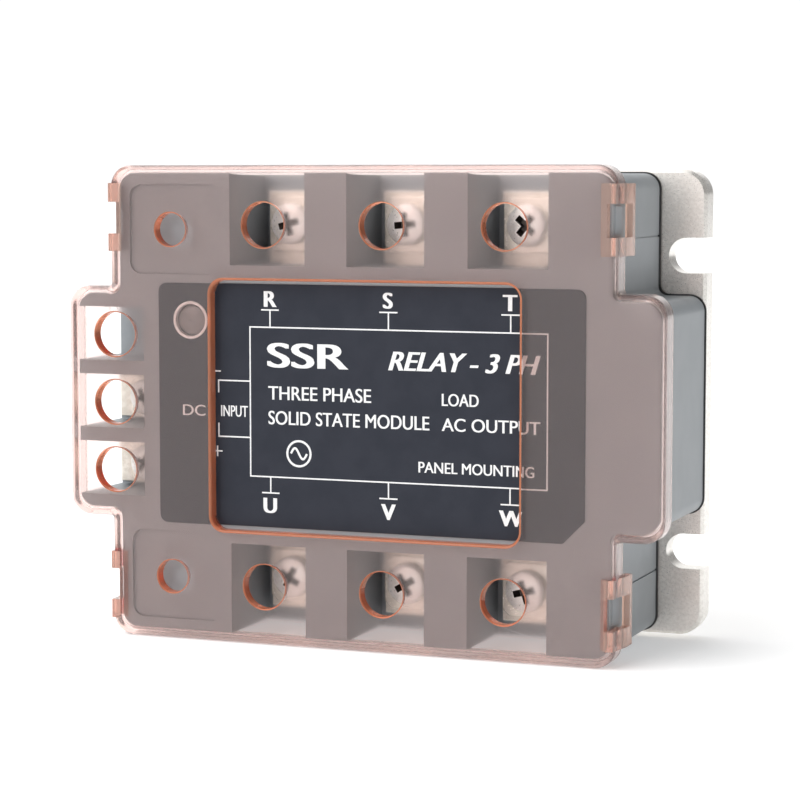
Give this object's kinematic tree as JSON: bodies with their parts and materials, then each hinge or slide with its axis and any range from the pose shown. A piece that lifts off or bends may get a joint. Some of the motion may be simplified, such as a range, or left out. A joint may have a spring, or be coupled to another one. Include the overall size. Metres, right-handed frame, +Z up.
{
  "type": "solid state relay",
  "caption": "Solid state relay: metal base plate with open mounting notches, potted slate housing, clamp-screw terminals on three sides, and a translucent push-fit cover.",
  "frame": {"origin": "centre of the base plate's back face, where it meets the heat sink", "axes": "+Z up with the relay standing on its long edge, as in the picture; the cover faces -Y and the mounting face is Y = 0; +X is to the right seen from the front, so the control terminals are at -X"},
  "size_m": [0.099, 0.0331, 0.0754],
  "materials": {
    "nickel_plate": "nickel plated, satin, bright bevelled edges",
    "black_sealant": "cured black sealant",
    "slate_housing": "fine moulded satin",
    "label_film": "satin film with white print",
    "smoke_cover": "milky translucent pink, glossy, orange at its cut edges",
    "bezel_plastic": "white moulded ring",
    "led_epoxy": "diffused epoxy, unlit",
    "terminal_plating": "nickel plated brass, bright",
    "washer_plating": "nickel plated steel, bright",
    "screw_plating": "nickel plated steel, bright",
    "nut_plating": "zinc plated steel",
    "board_laminate": "solder mask over glass laminate",
    "package_epoxy": "moulded epoxy",
    "resistor_body": "lacquered ceramic",
    "capacitor_case": "film capacitor box",
    "bare_copper": "bare copper",
    "alumina": "alumina",
    "silicon": "passivated silicon",
    "silicone_gel": "translucent silicone gel"
  },
  "bodies": {
    "relay_body": {"base_plate": "nickel_plate", "base_seal": "black_sealant", "housing": "slate_housing", "label": "label_film", "led_bezel": "bezel_plastic", "status_led": "led_epoxy", "power_terminal_r": "terminal_plating", "power_terminal_s": "terminal_plating", "power_terminal_t": "terminal_plating", "power_terminal_u": "terminal_plating", "power_terminal_v": "terminal_plating", "power_terminal_w": "terminal_plating", "power_nuts": "nut_plating", "control_terminal_minus": "terminal_plating", "control_terminal_plus": "terminal_plating", "control_nuts": "nut_plating", "circuit_board": "board_laminate", "optocouplers": "package_epoxy", "gate_resistors": "resistor_body", "snubber_capacitors": "capacitor_case", "snubber_resistors": "resistor_body", "current_regulator": "package_epoxy", "protection_diode": "package_epoxy", "gate_pins": "bare_copper", "ceramic_substrates": "alumina", "copper_pads": "bare_copper", "thyristor_chips": "silicon", "thyristor_straps": "bare_copper", "potting": "silicone_gel"},
    "cover": {"cover": "smoke_cover"},
    "washer_r": {"clamp_washer_r": "washer_plating"},
    "screw_r": {"power_screw_r": "screw_plating"},
    "washer_s": {"clamp_washer_s": "washer_plating"},
    "screw_s": {"power_screw_s": "screw_plating"},
    "washer_t": {"clamp_washer_t": "washer_plating"},
    "screw_t": {"power_screw_t": "screw_plating"},
    "washer_u": {"clamp_washer_u": "washer_plating"},
    "screw_u": {"power_screw_u": "screw_plating"},
    "washer_v": {"clamp_washer_v": "washer_plating"},
    "screw_v": {"power_screw_v": "screw_plating"},
    "washer_w": {"clamp_washer_w": "washer_plating"},
    "screw_w": {"power_screw_w": "screw_plating"},
    "washer_minus": {"control_washer_minus": "washer_plating"},
    "screw_minus": {"control_screw_minus": "screw_plating"},
    "washer_plus": {"control_washer_plus": "washer_plating"},
    "screw_plus": {"control_screw_plus": "screw_plating"}
  },
  "joints": [
    {"name": "cover_pull_off", "type": "slide", "parent": "relay_body", "child": "cover", "axis": [0, -1, 0], "range_m": [0, 0.03]},
    {"name": "washer_r_lift", "type": "slide", "parent": "relay_body", "child": "washer_r", "axis": [0, -1, 0], "range_m": [0, 0.0028]},
    {"name": "screw_r_turn", "type": "hinge", "parent": "washer_r", "child": "screw_r", "pos_m": [-0.015, -0.0207, 0.0284], "axis": [0, -1, 0], "range_deg": [0, 1442]},
    {"name": "washer_s_lift", "type": "slide", "parent": "relay_body", "child": "washer_s", "axis": [0, -1, 0], "range_m": [0, 0.0028]},
    {"name": "screw_s_turn", "type": "hinge", "parent": "washer_s", "child": "screw_s", "pos_m": [0.0048, -0.0207, 0.0284], "axis": [0, -1, 0], "range_deg": [0, 1442]},
    {"name": "washer_t_lift", "type": "slide", "parent": "relay_body", "child": "washer_t", "axis": [0, -1, 0], "range_m": [0, 0.0028]},
    {"name": "screw_t_turn", "type": "hinge", "parent": "washer_t", "child": "screw_t", "pos_m": [0.0246, -0.0207, 0.0284], "axis": [0, -1, 0], "range_deg": [0, 1442]},
    {"name": "washer_u_lift", "type": "slide", "parent": "relay_body", "child": "washer_u", "axis": [0, -1, 0], "range_m": [0, 0.0028]},
    {"name": "screw_u_turn", "type": "hinge", "parent": "washer_u", "child": "screw_u", "pos_m": [-0.015, -0.0207, -0.0284], "axis": [0, -1, 0], "range_deg": [0, 1442]},
    {"name": "washer_v_lift", "type": "slide", "parent": "relay_body", "child": "washer_v", "axis": [0, -1, 0], "range_m": [0, 0.0028]},
    {"name": "screw_v_turn", "type": "hinge", "parent": "washer_v", "child": "screw_v", "pos_m": [0.0048, -0.0207, -0.0284], "axis": [0, -1, 0], "range_deg": [0, 1442]},
    {"name": "washer_w_lift", "type": "slide", "parent": "relay_body", "child": "washer_w", "axis": [0, -1, 0], "range_m": [0, 0.0028]},
    {"name": "screw_w_turn", "type": "hinge", "parent": "washer_w", "child": "screw_w", "pos_m": [0.0246, -0.0207, -0.0284], "axis": [0, -1, 0], "range_deg": [0, 1442]},
    {"name": "washer_minus_lift", "type": "slide", "parent": "relay_body", "child": "washer_minus", "axis": [0, -1, 0], "range_m": [0, 0.002]},
    {"name": "screw_minus_turn", "type": "hinge", "parent": "washer_minus", "child": "screw_minus", "pos_m": [-0.0409, -0.0211, 0], "axis": [0, -1, 0], "range_deg": [0, 1442]},
    {"name": "washer_plus_lift", "type": "slide", "parent": "relay_body", "child": "washer_plus", "axis": [0, -1, 0], "range_m": [0, 0.002]},
    {"name": "screw_plus_turn", "type": "hinge", "parent": "washer_plus", "child": "screw_plus", "pos_m": [-0.0409, -0.0211, -0.01085], "axis": [0, -1, 0], "range_deg": [0, 1442]}
  ],
  "couplings": [
    {"joint": "screw_r_turn", "follows": "washer_r_lift", "rad_per_m": 8976},
    {"joint": "screw_s_turn", "follows": "washer_s_lift", "rad_per_m": 8976},
    {"joint": "screw_t_turn", "follows": "washer_t_lift", "rad_per_m": 8976},
    {"joint": "screw_u_turn", "follows": "washer_u_lift", "rad_per_m": 8976},
    {"joint": "screw_v_turn", "follows": "washer_v_lift", "rad_per_m": 8976},
    {"joint": "screw_w_turn", "follows": "washer_w_lift", "rad_per_m": 8976},
    {"joint": "screw_minus_turn", "follows": "washer_minus_lift", "rad_per_m": 12566},
    {"joint": "screw_plus_turn", "follows": "washer_plus_lift", "rad_per_m": 12566}
  ]
}
